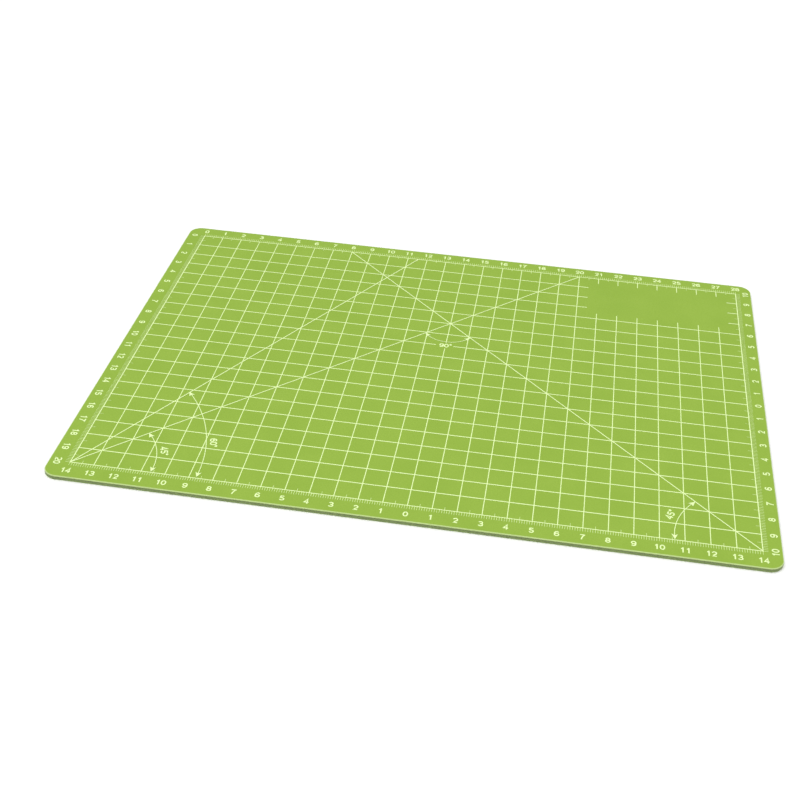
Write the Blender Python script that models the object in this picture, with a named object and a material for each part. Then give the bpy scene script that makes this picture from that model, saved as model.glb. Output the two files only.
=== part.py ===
"""Self healing cutting mat: a stiff core sheet bonded between two self healing skins, with a
white centimetre grid and angle guides printed on the upper skin.

The mat lies flat on its underside. The origin is the centre of the underside, +X runs along
the long side, +Y points to the far long side and +Z is up. Every size is in metres, except
that the print is laid out in grid squares from its own lower left corner.
"""

import math

import bmesh
import bpy
from mathutils import Vector
from mathutils.geometry import delaunay_2d_cdt

# Overall size of the mat, without the print
MAT_WIDTH = 0.297
MAT_DEPTH = 0.2185
MAT_THICKNESS = 0.002

# Outline seen from above
CORNER_RADIUS = 0.006
CORNER_FACETS = 16

# Plies, each a flat sheet with the whole outline
CORE_THICKNESS = 0.0005
BOND_LINE = 0.00005
SKIN_THICKNESS = MAT_THICKNESS / 2 - CORE_THICKNESS / 2 - BOND_LINE

# Rounding round the rim, where the mat was die cut
UPPER_EDGE_RADIUS = 0.0005
LOWER_EDGE_RADIUS = 0.0003
EDGE_FACETS = 5
SMOOTH_BELOW = math.radians(40)

# Printed grid: its squares, and where its middle lies on the mat
SQUARE = 0.01
COLUMNS = 28
ROWS = 20
PRINT_CENTRE = (0.00065, 0.0005)
COLUMN_LINE_WIDTH = 0.00035
ROW_LINE_WIDTH = 0.00048
FRAME_LINE_WIDTH = 0.0004

# In grid squares: how far past the middle of a frame line the ends of the grid lines stand
OVERHANG = 0.03

# Fields that are left clear of grid lines, as lower left and upper right corner: a blank field
# at the upper right, and the ground of a label near the middle
CLEAR_FIELDS = [
    ((20.5, 16.5), (27.5, 19.5)),
    ((13.55, 11.75), (14.38, 12.25)),
]

# Ink, a thin film. Lines that cross lie one over the other, so each set has a level of its own
INK_THICKNESS = 0.00002
INK_GAP = 0.00001

# Angle guides: straight lines from corner to edge, as start and end
ANGLE_LINE_WIDTH = 0.00045
ANGLE_LINES = [
    ((0, 0), (ROWS, ROWS)),
    ((0, 0), (ROWS / math.tan(math.radians(60)), ROWS)),
    ((COLUMNS, 0), (COLUMNS - ROWS, ROWS)),
]

# Angle guides: arcs with an arrowhead at each end, as centre, radius and the two end angles
ARC_LINE_WIDTH = 0.00032
ANGLE_ARCS = {
    "print_arc_45_left": ((0.15, 0.31), 3.26, -5, 43),
    "print_arc_60": ((-3.19, 0.36), 8.50, -2, 40),
    "print_arc_45_right": ((COLUMNS - 0.15, 0.31), 3.26, 137, 185),
    "print_arc_90": ((14, 13.6), 1.28, 212, 328),
}
ARC_FACETS = 24
ARROW_LENGTH = 0.32
ARROW_WIDTH = 0.26
ARROW_NOTCH = 0.07

# In grid squares: two places nearer than this are one
SAME_PLACE = 1e-5

# Linear colours of the plastics and the ink
SKIN_GREEN = (0.342, 0.515, 0.080, 1.0)
CORE_GREY = (0.300, 0.360, 0.190, 1.0)
INK_WHITE = (0.850, 0.930, 0.700, 1.0)


def clear_scene():
    """Empties the scene, so that only the mat is left in it."""
    for old in list(bpy.data.objects):
        bpy.data.objects.remove(old, do_unlink=True)


def plastic(name, colour, roughness):
    """A plain opaque plastic or ink."""
    material = bpy.data.materials.new(name)
    material.use_nodes = True
    shader = material.node_tree.nodes["Principled BSDF"]
    shader.inputs["Base Color"].default_value = colour
    shader.inputs["Roughness"].default_value = roughness
    shader.inputs["Metallic"].default_value = 0.0
    return material


def raise_faces(bm, thickness):
    """Makes closed solids of all the flat faces at z = 0, as thick as given."""
    extruded = bmesh.ops.extrude_face_region(bm, geom=bm.faces[:])["geom"]
    upper_verts = [item for item in extruded if isinstance(item, bmesh.types.BMVert)]
    bmesh.ops.translate(bm, verts=upper_verts, vec=(0, 0, thickness))


def make_object(name, bm, base, material, parent):
    """Turns the bmesh into an object of its own that stands at the height base."""
    bmesh.ops.recalc_face_normals(bm, faces=bm.faces)
    mesh = bpy.data.meshes.new(name)
    bm.to_mesh(mesh)
    bm.free()
    mesh.materials.append(material)
    mesh.shade_smooth()
    mesh.set_sharp_from_angle(angle=SMOOTH_BELOW)

    piece = bpy.data.objects.new(name, mesh)
    bpy.context.collection.objects.link(piece)
    piece.parent = parent
    piece.location = (0, 0, base)


def mat_outline():
    """Points round the mat, counter-clockwise from above, with a round arc at each corner."""
    half_x = MAT_WIDTH / 2 - CORNER_RADIUS
    half_y = MAT_DEPTH / 2 - CORNER_RADIUS
    arc_centres = [(half_x, half_y), (-half_x, half_y), (-half_x, -half_y), (half_x, -half_y)]
    points = []
    for quarter, (centre_x, centre_y) in enumerate(arc_centres):
        for facet in range(CORNER_FACETS + 1):
            angle = math.pi / 2 * (quarter + facet / CORNER_FACETS)
            x = centre_x + CORNER_RADIUS * math.cos(angle)
            y = centre_y + CORNER_RADIUS * math.sin(angle)
            points.append((x, y))
    return points


def round_rim(bm, height, radius):
    """Rounds the edges that lie at one height, which are the rim of a ply's upper or lower face."""
    rim = []
    for edge in bm.edges:
        if all(math.isclose(vert.co.z, height, abs_tol=1e-6) for vert in edge.verts):
            rim.append(edge)
    bmesh.ops.bevel(bm, geom=rim, offset=radius, segments=EDGE_FACETS, profile=0.5, affect="EDGES")


def make_ply(name, base, thickness, material, parent, upper_radius=0.0, lower_radius=0.0):
    """One sheet of the laminate, with its upper or lower rim rounded where it is the mat's own."""
    bm = bmesh.new()
    bm.faces.new([bm.verts.new((x, y, 0)) for x, y in mat_outline()])
    raise_faces(bm, thickness)
    if upper_radius > 0:
        round_rim(bm, thickness, upper_radius)
    if lower_radius > 0:
        round_rim(bm, 0, lower_radius)
    make_object(name, bm, base, material, parent)


def make_plies(mat):
    """The laminate, from the underside up."""
    skin = plastic("self_healing_skin", SKIN_GREEN, 0.55)
    core = plastic("stiff_core", CORE_GREY, 0.60)
    core_base = SKIN_THICKNESS + BOND_LINE
    top_base = core_base + CORE_THICKNESS + BOND_LINE
    make_ply("bottom_skin", 0, SKIN_THICKNESS, skin, mat, lower_radius=LOWER_EDGE_RADIUS)
    make_ply("core_sheet", core_base, CORE_THICKNESS, core, mat)
    make_ply("top_skin", top_base, SKIN_THICKNESS, skin, mat, upper_radius=UPPER_EDGE_RADIUS)


def on_mat(place):
    """Where a place in the printed grid lies on the mat, in metres, at z = 0."""
    x = PRINT_CENTRE[0] + (place[0] - COLUMNS / 2) * SQUARE
    y = PRINT_CENTRE[1] + (place[1] - ROWS / 2) * SQUARE
    return Vector((x, y, 0))


def bar(start, end, width):
    """Outline of a straight printed line between two places in the grid."""
    start = Vector(start)
    end = Vector(end)
    side = (end - start).orthogonal().normalized() * width / SQUARE / 2
    return [start - side, end - side, end + side, start + side]


def line_spans(place, length, across, along):
    """Stretches of one grid line, which ends just outside the frame. Clear fields cut it.

    across and along number the axes: 0 for columns and 1 for rows.
    """
    spans = [(-OVERHANG, length + OVERHANG)]
    for low, high in CLEAR_FIELDS:
        if low[across] < place < high[across]:
            first, last = spans.pop()
            spans += [(first, low[along]), (high[along], last)]
    return spans


def column_outlines():
    """The grid lines that run up the mat, and the frame's lower and upper lines, which join them."""
    outlines = []
    for row in (0, ROWS):
        outlines.append(bar((-OVERHANG, row), (COLUMNS + OVERHANG, row), FRAME_LINE_WIDTH))
    for column in range(1, COLUMNS):
        for first, last in line_spans(column, ROWS, 0, 1):
            outlines.append(bar((column, first), (column, last), COLUMN_LINE_WIDTH))
    return outlines


def row_outlines():
    """The grid lines that run across the mat, and the frame's left and right lines, which join them."""
    outlines = []
    for column in (0, COLUMNS):
        outlines.append(bar((column, -OVERHANG), (column, ROWS + OVERHANG), FRAME_LINE_WIDTH))
    for row in range(1, ROWS):
        for first, last in line_spans(row, COLUMNS, 1, 0):
            outlines.append(bar((first, row), (last, row), ROW_LINE_WIDTH))
    return outlines


def arrow_side(centre, radius, first, last, side):
    """One side of an arc with arrowheads, from tip to tip: the inner side (-1) or the outer (1)."""
    barb = ARROW_LENGTH / radius
    notch = (ARROW_LENGTH - ARROW_NOTCH) / radius
    half_shaft = ARC_LINE_WIDTH / SQUARE / 2
    reach = [(first, 0), (first + barb, ARROW_WIDTH / 2)]
    for facet in range(ARC_FACETS + 1):
        along = facet / ARC_FACETS
        reach.append((first + notch + (last - first - 2 * notch) * along, half_shaft))
    reach += [(last - barb, ARROW_WIDTH / 2), (last, 0)]
    points = []
    for angle, offset in reach:
        distance = radius + side * offset
        points.append(Vector(centre) + distance * Vector((math.cos(angle), math.sin(angle))))
    return points


def arc_outline(centre, radius, first_degrees, last_degrees):
    """Outline of an arc with an arrowhead at each end, whose tips rest on the lines it joins."""
    first = math.radians(first_degrees)
    last = math.radians(last_degrees)
    outer = arrow_side(centre, radius, first, last, 1)
    inner = arrow_side(centre, radius, first, last, -1)
    return outer + inner[-2:0:-1]


def make_film(name, outlines, level, ink, mat):
    """One film of ink, the union of its outlines, on its level above the upper skin."""
    corners = [corner for outline in outlines for corner in outline]
    loops = []
    for outline in outlines:
        first = loops[-1][-1] + 1 if loops else 0
        loops.append(list(range(first, first + len(outline))))
    places, _, faces, _, _, sources = delaunay_2d_cdt(corners, [], loops, 1, SAME_PLACE)

    bm = bmesh.new()
    verts = [bm.verts.new(on_mat(place)) for place in places]
    for face, covered_by in zip(faces, sources):
        if covered_by:
            bm.faces.new([verts[index] for index in face])
    bmesh.ops.delete(bm, geom=[vert for vert in verts if not vert.link_faces], context="VERTS")
    raise_faces(bm, INK_THICKNESS)
    base = MAT_THICKNESS + INK_GAP + level * (INK_THICKNESS + INK_GAP)
    make_object(name, bm, base, ink, mat)


def make_print(mat):
    """The print, level by level: what crosses the lines of one level lies on the next."""
    ink = plastic("print_ink", INK_WHITE, 0.45)
    make_film("print_columns", column_outlines(), 0, ink, mat)
    make_film("print_rows", row_outlines(), 1, ink, mat)
    angle_lines = [bar(start, end, ANGLE_LINE_WIDTH) for start, end in ANGLE_LINES]
    make_film("print_angle_lines", angle_lines, 2, ink, mat)
    for name, arc in ANGLE_ARCS.items():
        make_film(name, [arc_outline(*arc)], 3, ink, mat)


def build():
    """The whole mat, under one empty at the centre of the underside."""
    mat = bpy.data.objects.new("mat", None)
    bpy.context.collection.objects.link(mat)
    make_plies(mat)
    make_print(mat)


clear_scene()
build()
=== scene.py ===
import math
from typing import NamedTuple

import bmesh
import bpy
from mathutils import Matrix, Vector
from mathutils.geometry import delaunay_2d_cdt


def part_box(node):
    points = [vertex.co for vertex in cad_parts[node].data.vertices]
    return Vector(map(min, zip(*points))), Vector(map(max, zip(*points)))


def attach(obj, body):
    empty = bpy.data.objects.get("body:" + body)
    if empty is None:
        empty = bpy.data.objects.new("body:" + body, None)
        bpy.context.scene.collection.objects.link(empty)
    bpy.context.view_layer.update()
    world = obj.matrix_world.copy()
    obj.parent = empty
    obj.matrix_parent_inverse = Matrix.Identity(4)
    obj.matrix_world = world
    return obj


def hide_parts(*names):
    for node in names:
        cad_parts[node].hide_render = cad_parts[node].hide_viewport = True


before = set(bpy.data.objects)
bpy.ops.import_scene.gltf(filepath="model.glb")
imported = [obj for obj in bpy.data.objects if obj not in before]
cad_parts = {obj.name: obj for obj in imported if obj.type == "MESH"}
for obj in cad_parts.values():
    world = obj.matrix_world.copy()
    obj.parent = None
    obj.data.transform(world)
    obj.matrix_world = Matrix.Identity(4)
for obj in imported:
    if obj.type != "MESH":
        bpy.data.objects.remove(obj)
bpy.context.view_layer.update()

RIGHT = Vector((1, 0, 0))
AWAY = Vector((0, 1, 0))

# Plies: the mat's outline, and the rounding of their rims. A rim that was only cut is nearly sharp.
# The flat margin inside a rounding keeps its smooth shading off the rest of the face
CORNER_RADIUS = 0.006
CORNER_FACETS = 24
UPPER_EDGE_RADIUS = 0.0005
LOWER_EDGE_RADIUS = 0.0003
CUT_EDGE_RADIUS = 0.00004
EDGE_FACETS = 8
FLAT_MARGIN = 0.0004
SMOOTH_BELOW = math.radians(50)

# Printed grid, whose squares set the scale of all the print. Its lines end just outside the frame
SQUARE = 0.01
COLUMNS = 28
ROWS = 20
FRAME_LINE_WIDTH = 0.0004
LINE_END = 0.0003

# Marks of the scales, a millimetre apart. They reach outwards from the frame line, and half way
# between the grid lines they reach inwards as well
MARKS_PER_SQUARE = 10
MARK_WIDTH = 0.00014
MARK_LENGTH = 0.0021
HALF_MARK_INSIDE = 0.0018
MARK_GAP = 0.000005

# Numerals. The stroke width and the pitches are in numeral heights
NUMERAL_HEIGHT = 0.0030
LABEL_HEIGHT = 0.0031
STROKE_WIDTH = 0.18
NUMERAL_PITCH = 0.75
DEGREE_PITCH = 0.45
DEGREE_SIGN = "\N{DEGREE SIGN}"
ROUND_FACETS = 28

# In numeral heights: two corners of an outline nearer than this are one
SAME_PLACE = 1e-5

# How far the numerals' centres stand outside the frame line
FAR_OFFSET = 0.00485
NEAR_OFFSET = 0.0054
LEFT_OFFSET = 0.0054
RIGHT_OFFSET = 0.0049

# Labels of the angle guides: number, column and row from the lower left corner, turn in degrees
LABELS = {
    "label_45_left": (45, 3.52, 1.47, -70),
    "label_60": (60, 5.36, 2.44, -75.7),
    "label_45_right": (45, 24.455, 1.533, 70),
    "label_90": (90, 14.0, 12.01, 0),
}

# Linear colours of the skins, with a painted highlight for the rims and painted shade for the cut wall,
# of the core in the cut wall, also darkened by painted shade, and of thick and thin ink
FACE_GREEN = (0.312, 0.478, 0.060, 1)
DEEP_GREEN = (0.268, 0.430, 0.045, 1)
RIM_HIGHLIGHT_GREEN = (0.52, 0.66, 0.27, 1)
WALL_SHADE_GREEN = (0.19, 0.26, 0.10, 1)
CORE_DARK = (0.16, 0.21, 0.08, 1)
CORE_LIGHT = (0.25, 0.32, 0.12, 1)
INK_THICK = (0.83, 1.0, 0.49, 1)
INK_THIN = (0.73, 0.92, 0.36, 1)

# Fineness of the patterns, in cells per metre. The cutter's marks run up and down the walls, so
# their pattern is coarser along Z
CLOUD_SCALE = 45
GRAIN_SCALE = 1900
SKIN_CUT_SCALES = (2600, 2600, 300)
CORE_CUT_SCALES = (2200, 2200, 400)
INK_COVER_SCALE = 700
INK_SPECK_SCALE = 5000

# Depth of the relief that is too fine to model
GRAIN_DEPTH = 0.00005
SKIN_CUT_DEPTH = 0.00001
CORE_CUT_DEPTH = 0.00002
INK_SPECK_DEPTH = 0.000005

# Camera, placed and aimed from the middle of the printed grid
CAMERA_PLACE = Vector((0.04717, -0.49889, 0.33485))
CAMERA_AIM = Vector((-0.01071, -0.02780, 0))
CAMERA_ROLL = math.radians(2.822)
CAMERA_LENS = 58.705
CAMERA_SHIFT = -0.01

# Studio
SUN_STRENGTH = 2.3
SUN_SPREAD = math.radians(60)
TOWARDS_SUN = Vector((-0.15, -0.1, 1))
SURROUND_STRENGTH = 0.4
FLOOR_HALF_SIZE = 4
FLOOR_GAP = 0.00005
BACKDROP_RADIUS = 8


# ---------------------------------------------------------------- meshes

def raise_faces(bm, thickness):
    """Makes closed solids of all the flat faces, as thick as given."""
    extruded = bmesh.ops.extrude_face_region(bm, geom=bm.faces[:])["geom"]
    upper_verts = [item for item in extruded if isinstance(item, bmesh.types.BMVert)]
    bmesh.ops.translate(bm, verts=upper_verts, vec=(0, 0, thickness))


def add_object(name, bm, material):
    """Turns a bmesh into an object in the scene."""
    mesh = bpy.data.meshes.new(name)
    bm.to_mesh(mesh)
    bm.free()
    mesh.materials.append(material)
    thing = bpy.data.objects.new(name, mesh)
    bpy.context.scene.collection.objects.link(thing)
    return thing


def add_piece(name, bm, material):
    """Turns a bmesh into a piece of the mat, smooth where it is rounded."""
    bmesh.ops.recalc_face_normals(bm, faces=bm.faces)
    piece = add_object(name, bm, material)
    piece.data.shade_smooth()
    piece.data.set_sharp_from_angle(angle=SMOOTH_BELOW)
    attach(piece, "root")
    return piece


# ---------------------------------------------------------------- plies

def outline_ring(low, high, inset):
    """Points round the mat's outline, moved inwards by inset."""
    radius = CORNER_RADIUS - inset
    arc_centres = [
        (high.x - CORNER_RADIUS, high.y - CORNER_RADIUS),
        (low.x + CORNER_RADIUS, high.y - CORNER_RADIUS),
        (low.x + CORNER_RADIUS, low.y + CORNER_RADIUS),
        (high.x - CORNER_RADIUS, low.y + CORNER_RADIUS),
    ]
    ring = []
    for quarter, (centre_x, centre_y) in enumerate(arc_centres):
        for facet in range(CORNER_FACETS + 1):
            angle = math.pi / 2 * (quarter + facet / CORNER_FACETS)
            ring.append((centre_x + radius * math.cos(angle), centre_y + radius * math.sin(angle)))
    return ring


def rounded_rim(height, radius, facing):
    """Profile of a rim as inset and height, from the wall to a face that looks up (1) or down (-1)."""
    profile = []
    for facet in range(EDGE_FACETS + 1):
        angle = math.pi / 2 * facet / EDGE_FACETS
        inset = radius * (1 - math.cos(angle))
        profile.append((inset, height - facing * radius * (1 - math.sin(angle))))
    profile.append((radius + FLAT_MARGIN, height))
    return profile


def make_ply(name, node, lower_radius, upper_radius, material):
    """A sheet of the laminate with both its rims rounded, in the place of its CAD node."""
    low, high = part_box(node)
    profile = rounded_rim(low.z, lower_radius, -1)[::-1] + rounded_rim(high.z, upper_radius, 1)
    bm = bmesh.new()
    rings = []
    for inset, height in profile:
        rings.append([bm.verts.new((x, y, height)) for x, y in outline_ring(low, high, inset)])
    count = len(rings[0])
    for lower, upper in zip(rings, rings[1:]):
        for index in range(count):
            after = (index + 1) % count
            bm.faces.new((lower[index], lower[after], upper[after], upper[index]))
    bm.faces.new(rings[0][::-1])
    bm.faces.new(rings[-1])
    piece = add_piece(name, bm, material)
    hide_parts(node)


# ---------------------------------------------------------------- marks

class Side(NamedTuple):
    """One side of the printed frame, and the scale that runs along it."""
    name: str
    node: str
    along: Vector
    outward: Vector
    frame_distance: float
    numeral_offset: float
    turn: float
    numbers: list


def print_sides():
    """The four sides. A node is the CAD print whose level the side shares, and a turn is in degrees."""
    half_width = COLUMNS / 2 * SQUARE
    half_depth = ROWS / 2 * SQUARE
    from_middle_of_width = [abs(step) for step in range(-COLUMNS // 2, COLUMNS // 2 + 1)]
    from_middle_of_depth = [abs(step) for step in range(-ROWS // 2, ROWS // 2 + 1)]
    columns, rows = "print_columns", "print_rows"
    return [
        Side("far", columns, RIGHT, AWAY, half_depth, FAR_OFFSET, 0, list(range(COLUMNS + 1))),
        Side("near", columns, RIGHT, -AWAY, half_depth, NEAR_OFFSET, 0, from_middle_of_width),
        Side("left", rows, -AWAY, -RIGHT, half_width, LEFT_OFFSET, -90, list(range(ROWS + 1))),
        Side("right", rows, AWAY, RIGHT, half_width, RIGHT_OFFSET, 90, from_middle_of_depth),
    ]


def print_level(node):
    """The middle of the printed grid on the level of a CAD print, and the thickness of its ink."""
    low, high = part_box(node)
    return Vector(((low.x + high.x) / 2, (low.y + high.y) / 2, low.z)), high.z - low.z


def add_bar(bm, start, end, width):
    """A straight flat mark between two points."""
    side = Vector((start.y - end.y, end.x - start.x, 0)).normalized() * width / 2
    corners = [start - side, end - side, end + side, start + side]
    bm.faces.new([bm.verts.new(corner) for corner in corners])


def make_marks(side, ink):
    """The millimetre marks of one side, and the marks inside the frame."""
    middle, thickness = print_level(side.node)
    squares = len(side.numbers) - 1
    clear_of_frame = FRAME_LINE_WIDTH / 2 + MARK_GAP
    clear_of_line = LINE_END + MARK_GAP
    bm = bmesh.new()
    for mark in range(squares * MARKS_PER_SQUARE + 1):
        place = mark % MARKS_PER_SQUARE
        step = mark / MARKS_PER_SQUARE - squares / 2
        foot = middle + side.along * step * SQUARE + side.outward * side.frame_distance
        start = clear_of_line if place == 0 else clear_of_frame
        add_bar(bm, foot + side.outward * start, foot + side.outward * MARK_LENGTH, MARK_WIDTH)
        if place * 2 == MARKS_PER_SQUARE:
            inner_start = foot - side.outward * clear_of_frame
            add_bar(bm, inner_start, foot - side.outward * HALF_MARK_INSIDE, MARK_WIDTH)
    raise_faces(bm, thickness)
    add_piece("marks_" + side.name, bm, ink)


# ---------------------------------------------------------------- numerals

def bow(centre, radii, first, last):
    """Points along part of an ellipse, from one angle to the other, in degrees."""
    count = max(2, round(abs(last - first) / 360 * ROUND_FACETS))
    points = []
    for step in range(count + 1):
        angle = math.radians(first + (last - first) * step / count)
        points.append((centre[0] + radii[0] * math.cos(angle), centre[1] + radii[1] * math.sin(angle)))
    return points


def upside_down(strokes):
    """The strokes of a numeral turned by half a turn."""
    return [[(-x, 1 - y) for x, y in stroke] for stroke in strokes]


def numeral_strokes():
    """Centrelines of each numeral's strokes, on a field 1 high whose middle is x = 0."""
    six = [
        bow((0, 0.32), (0.275, 0.235), 0, 360),
        bow((0.02, 0.5), (0.295, 0.41), 38, 200),
    ]
    return {
        "0": [bow((0, 0.5), (0.275, 0.41), 0, 360)],
        "1": [[(0.06, 0), (0.06, 1)], [(-0.2, 0.73), (-0.04, 0.76), (0.06, 0.93)]],
        "2": [bow((0, 0.66), (0.26, 0.25), 172, -38) + [(-0.18, 0.22), (-0.25, 0.09), (0.29, 0.09)]],
        "3": [
            bow((-0.01, 0.71), (0.24, 0.2), 160, -90) + [(-0.09, 0.51)],
            bow((-0.01, 0.3), (0.28, 0.21), 80, -160),
        ],
        "4": [[(0.13, 0), (0.13, 0.96), (-0.28, 0.3), (0.32, 0.3)]],
        "5": [
            [(0.26, 0.91), (-0.17, 0.91), (-0.22, 0.5)],
            bow((0, 0.33), (0.275, 0.24), 140, -158),
        ],
        "6": six,
        "7": [[(-0.29, 0.91), (0.27, 0.91), (0.07, 0.6), (-0.05, 0.3), (-0.09, 0)]],
        "8": [bow((0, 0.71), (0.22, 0.2), 0, 360), bow((0, 0.3), (0.275, 0.21), 0, 360)],
        "9": upside_down(six),
        DEGREE_SIGN: [bow((0, 0.84), (0.1, 0.1), 0, 360)],
    }


def stroke_outlines(points, width):
    """Four-sided outlines that follow a stroke, mitred where they meet."""
    points = [Vector(point) for point in points]
    closed = (points[0] - points[-1]).length < SAME_PLACE
    if closed:
        points.pop()
    count = len(points)
    sides = []
    for index, point in enumerate(points):
        normals = []
        if closed or index > 0:
            normals.append((point - points[index - 1]).orthogonal().normalized())
        if closed or index < count - 1:
            normals.append((points[(index + 1) % count] - point).orthogonal().normalized())
        mitre = sum(normals, Vector((0, 0))).normalized()
        reach = width / 2 / max(0.5, mitre.dot(normals[0]))
        sides.append((point - mitre * reach, point + mitre * reach))
    outlines = []
    for index in range(count if closed else count - 1):
        left_start, right_start = sides[index]
        left_end, right_end = sides[(index + 1) % count]
        outlines.append([left_start, left_end, right_end, right_start])
    return outlines


def flat_union(outlines):
    """Corners and faces of the area that the outlines cover together."""
    corners = [corner for outline in outlines for corner in outline]
    loops = []
    for outline in outlines:
        first = loops[-1][-1] + 1 if loops else 0
        loops.append(list(range(first, first + len(outline))))
    places, _, faces, _, _, sources = delaunay_2d_cdt(corners, [], loops, 1, SAME_PLACE)
    return places, [face for face, covered_by in zip(faces, sources) if covered_by]


def make_glyphs():
    """Each numeral as one flat shape."""
    glyphs = {}
    for character, strokes in numeral_strokes().items():
        outlines = []
        for stroke in strokes:
            outlines += stroke_outlines(stroke, STROKE_WIDTH)
        glyphs[character] = flat_union(outlines)
    return glyphs


def add_text(bm, glyphs, text, height, centre, turn):
    """A number or a label, centred on a point and turned by an angle in degrees."""
    turning = Matrix.Rotation(math.radians(turn), 4, "Z")
    pitches = [DEGREE_PITCH if character == DEGREE_SIGN else NUMERAL_PITCH for character in text]
    reached = -sum(pitches) / 2
    for character, pitch in zip(text, pitches):
        places, faces = glyphs[character]
        middle = reached + pitch / 2
        reached += pitch
        verts = []
        for x, y in places:
            local = Vector(((x + middle) * height, (y - 0.5) * height, 0))
            verts.append(bm.verts.new(centre + turning @ local))
        for face in faces:
            bm.faces.new([verts[index] for index in face])


def finish_text(name, bm, thickness, ink):
    """Raises flat text to the ink's thickness and makes one piece of it."""
    loose = [vert for vert in bm.verts if not vert.link_faces]
    bmesh.ops.delete(bm, geom=loose, context="VERTS")
    raise_faces(bm, thickness)
    add_piece(name, bm, ink)


def make_numerals(side, glyphs, ink):
    """The numbers of one side, a square apart."""
    middle, thickness = print_level(side.node)
    start = middle + side.outward * (side.frame_distance + side.numeral_offset)
    bm = bmesh.new()
    for index, number in enumerate(side.numbers):
        step = index - (len(side.numbers) - 1) / 2
        centre = start + side.along * step * SQUARE
        add_text(bm, glyphs, str(number), NUMERAL_HEIGHT, centre, side.turn)
    finish_text("numerals_" + side.name, bm, thickness, ink)


def make_label(name, number, column, row, turn, glyphs, ink):
    """A label of so many degrees inside the grid."""
    middle, thickness = print_level("print_columns")
    centre = middle + Vector((column - COLUMNS / 2, row - ROWS / 2, 0)) * SQUARE
    bm = bmesh.new()
    add_text(bm, glyphs, f"{number}{DEGREE_SIGN}", LABEL_HEIGHT, centre, turn)
    finish_text(name, bm, thickness, ink)


# ---------------------------------------------------------------- materials

class Nodes:
    """Adds shader nodes to a new material, with their inputs set by name or number."""

    def __init__(self, name):
        self.material = bpy.data.materials.new(name)
        self.material.use_nodes = True
        self.tree = self.material.node_tree
        self.shader = self.tree.nodes["Principled BSDF"]

    def connect(self, socket, value):
        """Links a socket to another node's output, or sets it to a number or a colour."""
        if isinstance(value, bpy.types.NodeSocket):
            self.tree.links.new(value, socket)
        else:
            socket.default_value = value

    def finish(self, **inputs):
        """Sets the shader's own inputs, whose names are given with _ for a space."""
        for name, value in inputs.items():
            self.connect(self.shader.inputs[name.replace("_", " ")], value)
        return self.material

    def add(self, kind, inputs=None, **settings):
        """A node of a kind, with its inputs connected and its settings made."""
        node = self.tree.nodes.new("ShaderNode" + kind)
        for key, value in settings.items():
            setattr(node, key, value)
        for key, value in (inputs or {}).items():
            self.connect(node.inputs[key], value)
        return node

    def position(self):
        """Places on the mat, in metres."""
        return self.add("TexCoord").outputs["Object"]

    def flatness(self):
        """How level the surface lies: 1 on the top and the underside, 0 on the wall."""
        normal = self.add("NewGeometry").outputs["Normal"]
        rise = self.add("SeparateXYZ", {"Vector": normal}).outputs["Z"]
        return self.add("Math", {0: rise}, operation="ABSOLUTE").outputs["Value"]

    def noise(self, position, scale, detail):
        """Noise from 0 to 1 at each point of the surface."""
        inputs = {"Vector": position, "Scale": scale, "Detail": detail}
        return self.add("TexNoise", inputs).outputs["Fac"]

    def streaks(self, position, scales, detail):
        """Noise with a scale of its own along each axis, so that it runs in one direction."""
        stretched = self.add("VectorMath", {0: position, 1: scales}, operation="MULTIPLY")
        return self.noise(stretched.outputs["Vector"], 1, detail)

    def ranged(self, value, from_low, from_high, to_low, to_high):
        """The value carried from one range to another, and held at its ends."""
        inputs = {"Value": value, "From Min": from_low, "From Max": from_high}
        inputs.update({"To Min": to_low, "To Max": to_high})
        return self.add("MapRange", inputs).outputs["Result"]

    def mixed(self, factor, first, second):
        """A colour between two others."""
        # The sockets for colours go by number, because every data type has some of the same names
        inputs = {0: factor, 6: first, 7: second}
        return self.add("Mix", inputs, data_type="RGBA").outputs[2]

    def bump(self, height, distance, strength, under=None):
        """Relief of so much distance, on top of other relief if any is given."""
        inputs = {"Height": height, "Distance": distance, "Strength": strength}
        if under is not None:
            inputs["Normal"] = under
        return self.add("Bump", inputs).outputs["Normal"]


def skin_material():
    """Soft PVC: fine pebbled grain on its faces, a painted highlight on its rounded rims and painted
    shade on the cut wall.
    """
    nodes = Nodes("skin_pvc")
    position = nodes.position()
    flatness = nodes.flatness()

    cloud = nodes.noise(position, CLOUD_SCALE, 3)
    grain = nodes.noise(position, GRAIN_SCALE, 3)
    face = nodes.mixed(nodes.ranged(cloud, 0.35, 0.65, 0, 0.6), FACE_GREEN, DEEP_GREEN)
    face = nodes.mixed(nodes.ranged(grain, 0.35, 0.65, 0, 0.7), face, DEEP_GREEN)

    cut = nodes.streaks(position, SKIN_CUT_SCALES, 2)
    # The wall's darker green is painted shade, streaked by the cutter's marks
    wall = nodes.mixed(nodes.ranged(cut, 0.3, 0.7, 0, 0.3), WALL_SHADE_GREEN, DEEP_GREEN)

    # The paler rounded rims are a painted highlight, laid where the surface tilts a little from level
    rim_highlight = nodes.ranged(flatness, 0.93, 0.99, 1, 0)
    # The dark wall is painted shade, laid where the surface stands nearly upright
    wall_shade = nodes.ranged(flatness, 0.05, 0.35, 1, 0)
    colour = nodes.mixed(wall_shade, nodes.mixed(rim_highlight, face, RIM_HIGHLIGHT_GREEN), wall)
    pebbles = nodes.bump(grain, GRAIN_DEPTH, 0.9)
    return nodes.finish(
        Base_Color=colour,
        Roughness=nodes.ranged(grain, 0.3, 0.7, 0.42, 0.58),
        Specular_IOR_Level=0.25,
        Normal=nodes.bump(cut, SKIN_CUT_DEPTH, 0.5, pebbles),
    )


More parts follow.
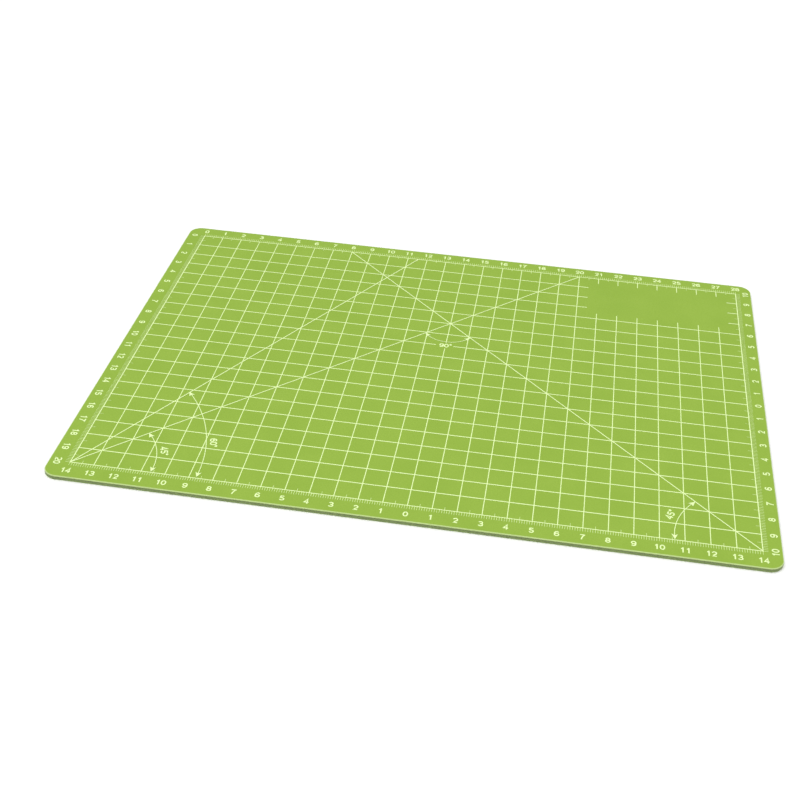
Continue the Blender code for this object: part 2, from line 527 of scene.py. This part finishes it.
def core_material():
    """Stiff PVC core, seen only as a stripe in the cut wall, its greyer streaks darkened by painted
    shade.
    """
    nodes = Nodes("core_pvc")
    cut = nodes.streaks(nodes.position(), CORE_CUT_SCALES, 3)
    return nodes.finish(
        Base_Color=nodes.mixed(cut, CORE_DARK, CORE_LIGHT),
        Roughness=nodes.ranged(cut, 0.3, 0.7, 0.5, 0.7),
        Normal=nodes.bump(cut, CORE_CUT_DEPTH, 0.6),
    )


def ink_material():
    """White screen ink, which takes a little of the green where it lies thinly."""
    nodes = Nodes("screen_ink")
    position = nodes.position()
    cover = nodes.noise(position, INK_COVER_SCALE, 3)
    speck = nodes.noise(position, INK_SPECK_SCALE, 1)
    return nodes.finish(
        Base_Color=nodes.mixed(nodes.ranged(cover, 0.4, 0.75, 0, 0.35), INK_THICK, INK_THIN),
        Roughness=nodes.ranged(speck, 0.3, 0.7, 0.38, 0.52),
        Normal=nodes.bump(speck, INK_SPECK_DEPTH, 0.5),
    )


# ---------------------------------------------------------------- the mat

def make_plies(skin, core):
    """The laminate, from the top down. Only its own upper and lower rims are rounded."""
    cut = CUT_EDGE_RADIUS
    make_ply("upper_skin", "top_skin", cut, UPPER_EDGE_RADIUS, skin)
    make_ply("core", "core_sheet", cut, cut, core)
    make_ply("lower_skin", "bottom_skin", LOWER_EDGE_RADIUS, cut, skin)


def make_print(ink):
    """The print that isn't in the CAD model, and the ink of the print that is."""
    glyphs = make_glyphs()
    for side in print_sides():
        make_marks(side, ink)
        make_numerals(side, glyphs, ink)
    for name, label in LABELS.items():
        make_label(name, *label, glyphs, ink)
    for name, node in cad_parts.items():
        if name.startswith("print_"):
            node.data.materials.clear()
            node.data.materials.append(ink)


# ---------------------------------------------------------------- studio

def make_floor():
    """A white matt floor, just under the mat."""
    material = Nodes("floor").finish(
        Base_Color=(0.95, 0.95, 0.95, 1),
        Roughness=0.9,
        Specular_IOR_Level=0,
    )
    bm = bmesh.new()
    bmesh.ops.create_grid(bm, x_segments=1, y_segments=1, size=FLOOR_HALF_SIZE)
    bmesh.ops.translate(bm, verts=bm.verts, vec=(0, 0, -FLOOR_GAP))
    add_object("floor", bm, material)


def make_backdrop():
    """A white shell beyond the floor. It is seen, but casts neither light nor shade on the mat."""
    material = Nodes("backdrop").finish(
        Base_Color=(0, 0, 0, 1),
        Specular_IOR_Level=0,
        Emission_Color=(1, 1, 1, 1),
        Emission_Strength=1,
    )
    bm = bmesh.new()
    bmesh.ops.create_uvsphere(bm, u_segments=48, v_segments=24, radius=BACKDROP_RADIUS)
    backdrop = add_object("backdrop", bm, material)
    backdrop.visible_diffuse = False
    backdrop.visible_glossy = False
    backdrop.visible_transmission = False
    backdrop.visible_shadow = False


def make_light():
    """One broad soft light from above, and an even white surround."""
    sun = bpy.data.objects.new("soft_light", bpy.data.lights.new("soft_light", "SUN"))
    bpy.context.scene.collection.objects.link(sun)
    sun.data.energy = SUN_STRENGTH
    sun.data.angle = SUN_SPREAD
    sun.rotation_euler = TOWARDS_SUN.to_track_quat("Z", "Y").to_euler()

    world = bpy.data.worlds.new("surround")
    world.use_nodes = True
    background = world.node_tree.nodes["Background"]
    background.inputs["Color"].default_value = (1, 1, 1, 1)
    background.inputs["Strength"].default_value = SURROUND_STRENGTH
    bpy.context.scene.world = world
    bpy.context.scene.view_settings.view_transform = "Standard"


def make_camera():
    """The camera, which looks down on the mat from beyond its near long side."""
    camera = bpy.data.objects.new("camera", bpy.data.cameras.new("camera"))
    bpy.context.scene.collection.objects.link(camera)
    middle, _ = print_level("print_columns")
    aim = (CAMERA_AIM - CAMERA_PLACE).to_track_quat("-Z", "Y").to_matrix().to_4x4()
    roll = Matrix.Rotation(CAMERA_ROLL, 4, "Z")
    camera.matrix_world = Matrix.Translation(middle + CAMERA_PLACE) @ aim @ roll
    camera.data.sensor_width = 36
    camera.data.lens = CAMERA_LENS
    camera.data.shift_x = CAMERA_SHIFT
    camera.data.clip_start = 0.01
    bpy.context.scene.camera = camera


make_plies(skin_material(), core_material())
make_print(ink_material())
make_floor()
make_backdrop()
make_light()
make_camera()
